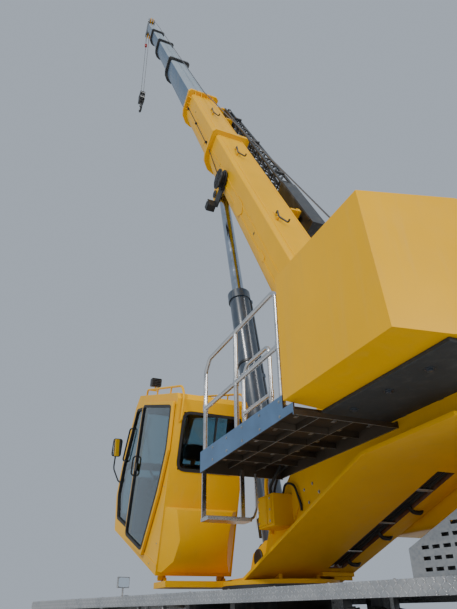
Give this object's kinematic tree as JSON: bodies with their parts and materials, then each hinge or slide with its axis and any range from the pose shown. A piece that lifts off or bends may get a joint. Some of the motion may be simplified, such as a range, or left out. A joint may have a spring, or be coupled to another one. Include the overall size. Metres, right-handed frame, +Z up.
{
  "type": "rough terrain crane",
  "caption": "Two-axle rough terrain crane with a slewing upper part, tilting cab, counterweight and a long telescopic boom run out over its hook.",
  "frame": {"origin": "on the ground under the middle of the whole crane's bounding box", "axes": "+X towards the carrier's front, +Y to its left, +Z up"},
  "size_m": [14.686, 5.5332, 27.28],
  "materials": {
    "crane_yellow": "satin",
    "boom_grey": "satin",
    "frame_dark": "satin",
    "dark_steel": "satin",
    "deck_plate": "tread plate",
    "platform_alloy": "brushed",
    "rail_tube": "brushed",
    "tyre": "matt",
    "cast": "rough",
    "chrome_rod": "polished",
    "glass": "tinted",
    "black_plastic": "matt",
    "steel_rope": "wire rope",
    "seat_fabric": "woven",
    "lamp_body": "matt"
  },
  "bodies": {
    "carrier": {"carrier_frame": "frame_dark", "deck": "deck_plate", "axles": "cast", "engine_hood": "crane_yellow", "engine_block": "cast", "tow_lugs": "frame_dark", "tanks": "frame_dark", "exhaust_guard": "deck_plate", "carrier_steps": "deck_plate", "carrier_lamps": "lamp_body", "slew_ring_lower": "cast"},
    "upper": {"slew_ring_upper": "cast", "upper_frame": "crane_yellow", "counterweight": "crane_yellow", "counterweight_floor": "dark_steel", "winches": "dark_steel", "side_platform": "platform_alloy", "handrails": "rail_tube", "junction_box": "crane_yellow", "cooler_housing": "crane_yellow"},
    "cab": {"cab_shell": "crane_yellow", "cab_glass": "glass", "cab_interior": "seat_fabric", "cab_roof_rails": "crane_yellow", "cab_mirror": "black_plastic"},
    "cab_door": {"door_frame": "crane_yellow", "door_glass": "glass"},
    "boom": {"boom_base": "crane_yellow", "jib": "dark_steel", "cable_reel": "black_plastic"},
    "section_1": {"boom_section_1": "boom_grey"},
    "section_2": {"boom_section_2": "boom_grey"},
    "section_3": {"boom_section_3": "boom_grey"},
    "section_4": {"boom_section_4": "boom_grey", "boom_head": "dark_steel"},
    "lift_rod": {"lift_rod": "chrome_rod"},
    "lift_barrel": {"lift_barrel": "dark_steel"},
    "falls": {"hoist_falls": "steel_rope"},
    "hook": {"hook_block": "dark_steel"},
    "knuckle_front_left": {"knuckle_front_left": "cast"},
    "wheel_front_left": {"rim_front_left": "crane_yellow", "tyre_front_left": "tyre"},
    "beam_front_left": {"outrigger_beam_front_left": "crane_yellow"},
    "jack_front_left": {"outrigger_jack_front_left": "dark_steel"},
    "knuckle_front_right": {"knuckle_front_right": "cast"},
    "wheel_front_right": {"rim_front_right": "crane_yellow", "tyre_front_right": "tyre"},
    "beam_front_right": {"outrigger_beam_front_right": "crane_yellow"},
    "jack_front_right": {"outrigger_jack_front_right": "dark_steel"},
    "knuckle_rear_left": {"knuckle_rear_left": "cast"},
    "wheel_rear_left": {"rim_rear_left": "crane_yellow", "tyre_rear_left": "tyre"},
    "beam_rear_left": {"outrigger_beam_rear_left": "crane_yellow"},
    "jack_rear_left": {"outrigger_jack_rear_left": "dark_steel"},
    "knuckle_rear_right": {"knuckle_rear_right": "cast"},
    "wheel_rear_right": {"rim_rear_right": "crane_yellow", "tyre_rear_right": "tyre"},
    "beam_rear_right": {"outrigger_beam_rear_right": "crane_yellow"},
    "jack_rear_right": {"outrigger_jack_rear_right": "dark_steel"}
  },
  "joints": [
    {"name": "slew", "type": "hinge", "parent": "carrier", "child": "upper", "pos_m": [-3.38939, 0.49022, 1.59852], "axis": [0, 0, 1], "continuous": true},
    {"name": "boom_luff", "type": "hinge", "parent": "upper", "child": "boom", "pos_m": [-5.16412, 1.01255, 3.15852], "axis": [-0.2823, -0.9593, 0], "range_deg": [-65.3, 15.7]},
    {"name": "section_1_run_out", "type": "slide", "parent": "boom", "child": "section_1", "axis": [0.4459, -0.1312, 0.8854], "range_m": [-4.83, 3.17]},
    {"name": "section_2_run_out", "type": "slide", "parent": "section_1", "child": "section_2", "axis": [0.4459, -0.1312, 0.8854], "range_m": [-4.13, 3.87]},
    {"name": "section_3_run_out", "type": "slide", "parent": "section_2", "child": "section_3", "axis": [0.4459, -0.1312, 0.8854], "range_m": [-3.13, 4.87]},
    {"name": "section_4_run_out", "type": "slide", "parent": "section_3", "child": "section_4", "axis": [0.4459, -0.1312, 0.8854], "range_m": [-2.98, 5.02]},
    {"name": "lift_rod_swing", "type": "hinge", "parent": "boom", "child": "lift_rod", "pos_m": [-2.00101, 0.0816, 8.29442], "axis": [-0.2823, -0.9593, 0], "range_deg": [-7.94, 2.67]},
    {"name": "lift_cylinder_stroke", "type": "slide", "parent": "lift_rod", "child": "lift_barrel", "axis": [-0.2133, 0.0628, -0.975], "range_m": [-2.3095, 0.5629]},
    {"name": "hook_level", "type": "hinge", "parent": "section_4", "child": "falls", "pos_m": [6.9598, -2.55571, 26.5439], "axis": [-0.2823, -0.9593, 0], "range_deg": [-16.7, 66.3]},
    {"name": "hook_hoist", "type": "slide", "parent": "falls", "child": "hook", "axis": [0, 0, -1], "range_m": [-3.2, 16], "deforming": ["hoist_falls"]},
    {"name": "cab_tilt", "type": "hinge", "parent": "upper", "child": "cab", "pos_m": [-2.8138, 0.32082, 1.78352], "axis": [-0.2823, -0.9593, 0], "range_deg": [-18, 2]},
    {"name": "cab_door_slide", "type": "slide", "parent": "cab", "child": "cab_door", "axis": [-0.9124, 0.2685, -0.309], "range_m": [0, 0.56]},
    {"name": "steer_front_left", "type": "hinge", "parent": "carrier", "child": "knuckle_front_left", "pos_m": [-1.48939, 1.29022, 0.73852], "axis": [0, 0, 1], "range_deg": [-24, 24]},
    {"name": "wheel_spin_front_left", "type": "hinge", "parent": "knuckle_front_left", "child": "wheel_front_left", "pos_m": [-1.48939, 1.49022, 0.73852], "axis": [0, 1, 0], "continuous": true},
    {"name": "outrigger_out_front_left", "type": "slide", "parent": "carrier", "child": "beam_front_left", "axis": [0, 1, 0], "range_m": [0, 1.9]},
    {"name": "jack_down_front_left", "type": "slide", "parent": "beam_front_left", "child": "jack_front_left", "axis": [0, 0, -1], "range_m": [0, 0.45]},
    {"name": "steer_front_right", "type": "hinge", "parent": "carrier", "child": "knuckle_front_right", "pos_m": [-1.48939, -0.30978, 0.73852], "axis": [0, 0, 1], "range_deg": [-24, 24]},
    {"name": "wheel_spin_front_right", "type": "hinge", "parent": "knuckle_front_right", "child": "wheel_front_right", "pos_m": [-1.48939, -0.50978, 0.73852], "axis": [0, 1, 0], "continuous": true},
    {"name": "outrigger_out_front_right", "type": "slide", "parent": "carrier", "child": "beam_front_right", "axis": [0, -1, 0], "range_m": [0, 1.9]},
    {"name": "jack_down_front_right", "type": "slide", "parent": "beam_front_right", "child": "jack_front_right", "axis": [0, 0, -1], "range_m": [0, 0.45]},
    {"name": "steer_rear_left", "type": "hinge", "parent": "carrier", "child": "knuckle_rear_left", "pos_m": [-5.28939, 1.29022, 0.73852], "axis": [0, 0, 1], "range_deg": [-24, 24]},
    {"name": "wheel_spin_rear_left", "type": "hinge", "parent": "knuckle_rear_left", "child": "wheel_rear_left", "pos_m": [-5.28939, 1.49022, 0.73852], "axis": [0, 1, 0], "continuous": true},
    {"name": "outrigger_out_rear_left", "type": "slide", "parent": "carrier", "child": "beam_rear_left", "axis": [0, 1, 0], "range_m": [0, 1.9]},
    {"name": "jack_down_rear_left", "type": "slide", "parent": "beam_rear_left", "child": "jack_rear_left", "axis": [0, 0, -1], "range_m": [0, 0.45]},
    {"name": "steer_rear_right", "type": "hinge", "parent": "carrier", "child": "knuckle_rear_right", "pos_m": [-5.28939, -0.30978, 0.73852], "axis": [0, 0, 1], "range_deg": [-24, 24]},
    {"name": "wheel_spin_rear_right", "type": "hinge", "parent": "knuckle_rear_right", "child": "wheel_rear_right", "pos_m": [-5.28939, -0.50978, 0.73852], "axis": [0, 1, 0], "continuous": true},
    {"name": "outrigger_out_rear_right", "type": "slide", "parent": "carrier", "child": "beam_rear_right", "axis": [0, -1, 0], "range_m": [0, 1.9]},
    {"name": "jack_down_rear_right", "type": "slide", "parent": "beam_rear_right", "child": "jack_rear_right", "axis": [0, 0, -1], "range_m": [0, 0.45]}
  ],
  "couplings": [
    {"joint": "lift_rod_swing", "follows": "boom_luff", "ratio": 0.10627},
    {"joint": "lift_cylinder_stroke", "follows": "boom_luff", "m_per_rad": 2.0177},
    {"joint": "hook_level", "follows": "boom_luff", "ratio": -1},
    {"joint": "steer_front_right", "follows": "steer_front_left", "ratio": 1},
    {"joint": "steer_rear_right", "follows": "steer_rear_left", "ratio": 1}
  ]
}
